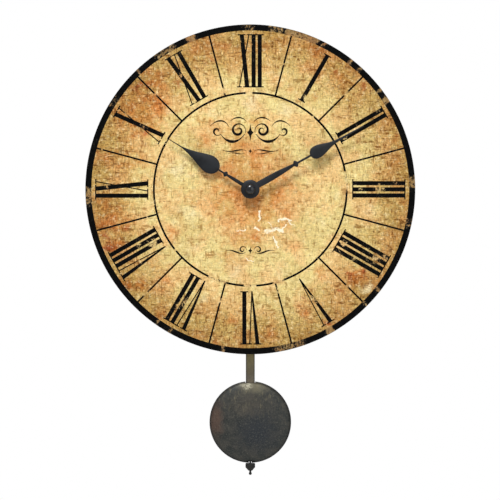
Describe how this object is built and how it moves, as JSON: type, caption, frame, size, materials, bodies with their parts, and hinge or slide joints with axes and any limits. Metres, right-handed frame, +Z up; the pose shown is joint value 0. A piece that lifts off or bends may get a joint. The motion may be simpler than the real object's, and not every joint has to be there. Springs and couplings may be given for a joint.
{
  "type": "pendulum wall clock",
  "caption": "Round printed wall clock on a flat board, spade hands, quartz pendulum movement behind it and a swinging rod with a domed bob and rating nut below.",
  "frame": {"origin": "on the wall plane, directly behind the hands' axis", "axes": "+Z up, +Y into the wall, the dial faces -Y, +X to the right seen from the front"},
  "size_m": [0.285, 0.0458, 0.3899],
  "materials": {
    "dial_board": "fibreboard with a black painted edge, scuffed",
    "dial_paper": "printed antique parchment, stained and worn, matt",
    "black_rubber": "matt",
    "brass": "turned, satin",
    "case_plastic": "fine spark-eroded texture",
    "gear_plastic": "natural acetal",
    "knob_plastic": "grey moulded plastic",
    "bobbin_plastic": "moulded",
    "board_laminate": "solder-masked laminate",
    "chip_resin": "epoxy blob",
    "copper_wire": "enamelled fine copper wire",
    "magnet": "sintered, dull",
    "battery_sleeve": "plain printed sleeve",
    "steel": "plated",
    "hand_enamel": "blue-black satin",
    "rod_metal": "aged gunmetal",
    "bob_metal": "aged dark gunmetal, mottled"
  },
  "bodies": {
    "clock": {"dial_board": "dial_board", "dial_print": "dial_paper", "rubber_washer": "black_rubber", "brass_washer": "brass", "hex_nut": "brass", "movement_case": "case_plastic", "centre_bush": "brass", "back_cover": "case_plastic", "middle_plate": "gear_plastic", "train_bridge": "gear_plastic", "circuit_board": "board_laminate", "control_chip": "chip_resin", "quartz_crystal": "steel", "stepper_stator": "steel", "stepper_bobbin": "bobbin_plastic", "stepper_winding": "copper_wire", "drive_bobbin": "gear_plastic", "drive_winding": "copper_wire", "battery": "battery_sleeve", "battery_contact_positive": "steel", "battery_contact_negative": "steel", "pivot_pin": "steel"},
    "minute": {"minute_hand": "hand_enamel", "cap_nut": "hand_enamel", "minute_tube": "brass"},
    "hour": {"hour_hand": "hand_enamel", "hour_wheel": "gear_plastic"},
    "setting": {"motion_wheel": "gear_plastic", "setting_knob": "knob_plastic"},
    "centre": {"centre_wheel": "gear_plastic"},
    "third": {"third_wheel": "gear_plastic"},
    "second": {"second_wheel": "gear_plastic"},
    "idler": {"idler_wheel": "gear_plastic"},
    "rotor": {"rotor_pinion": "steel", "rotor_magnet": "magnet"},
    "pendulum": {"pendulum_leader": "gear_plastic", "leader_magnet": "magnet", "pendulum_rod": "rod_metal", "rod_stem": "rod_metal", "stem_rivet_upper": "steel", "stem_rivet_lower": "steel"},
    "bob": {"bob_shell": "bob_metal", "bob_back_plate": "bob_metal", "bob_spring_clip": "steel", "clip_rivet": "steel"},
    "nut": {"rating_nut": "rod_metal"}
  },
  "joints": [
    {"name": "minute_hand_turn", "type": "hinge", "parent": "clock", "child": "minute", "pos_m": [0, 0, 0], "axis": [0, 1, 0], "continuous": true},
    {"name": "hour_hand_turn", "type": "hinge", "parent": "clock", "child": "hour", "pos_m": [0, 0, 0], "axis": [0, 1, 0], "continuous": true},
    {"name": "setting_knob_turn", "type": "hinge", "parent": "clock", "child": "setting", "pos_m": [0.01159, 0, -0.00311], "axis": [0, 1, 0], "continuous": true},
    {"name": "rotor_turn", "type": "hinge", "parent": "clock", "child": "rotor", "pos_m": [0.003, 0, -0.0122], "axis": [0, 1, 0], "continuous": true},
    {"name": "idler_wheel_turn", "type": "hinge", "parent": "clock", "child": "idler", "pos_m": [0, 0, -0.007], "axis": [0, 1, 0], "continuous": true},
    {"name": "second_wheel_turn", "type": "hinge", "parent": "clock", "child": "second", "pos_m": [0, 0, 0], "axis": [0, 1, 0], "continuous": true},
    {"name": "third_wheel_turn", "type": "hinge", "parent": "clock", "child": "third", "pos_m": [-0.01043, 0, -0.0028], "axis": [0, 1, 0], "continuous": true},
    {"name": "centre_wheel_turn", "type": "hinge", "parent": "clock", "child": "centre", "pos_m": [0, 0, 0], "axis": [0, 1, 0], "continuous": true},
    {"name": "pendulum_swing", "type": "hinge", "parent": "clock", "child": "pendulum", "pos_m": [0, -0.012, -0.034], "axis": [0, 1, 0], "range_deg": [-8, 8]},
    {"name": "bob_slide", "type": "slide", "parent": "pendulum", "child": "bob", "axis": [0, 0, 1], "range_m": [-0.001, 0.003]},
    {"name": "rating_nut_turn", "type": "hinge", "parent": "bob", "child": "nut", "pos_m": [0, -0.012, -0.24], "axis": [0, 0, 1], "range_deg": [-900, 2700]}
  ],
  "couplings": [
    {"joint": "hour_hand_turn", "follows": "minute_hand_turn", "ratio": 0.083333},
    {"joint": "setting_knob_turn", "follows": "minute_hand_turn", "ratio": -0.33333},
    {"joint": "idler_wheel_turn", "follows": "rotor_turn", "ratio": -0.2},
    {"joint": "second_wheel_turn", "follows": "rotor_turn", "ratio": 0.033333},
    {"joint": "third_wheel_turn", "follows": "rotor_turn", "ratio": -0.0044444},
    {"joint": "centre_wheel_turn", "follows": "rotor_turn", "ratio": 0.00055556},
    {"joint": "rating_nut_turn", "follows": "bob_slide", "rad_per_m": 15708}
  ]
}
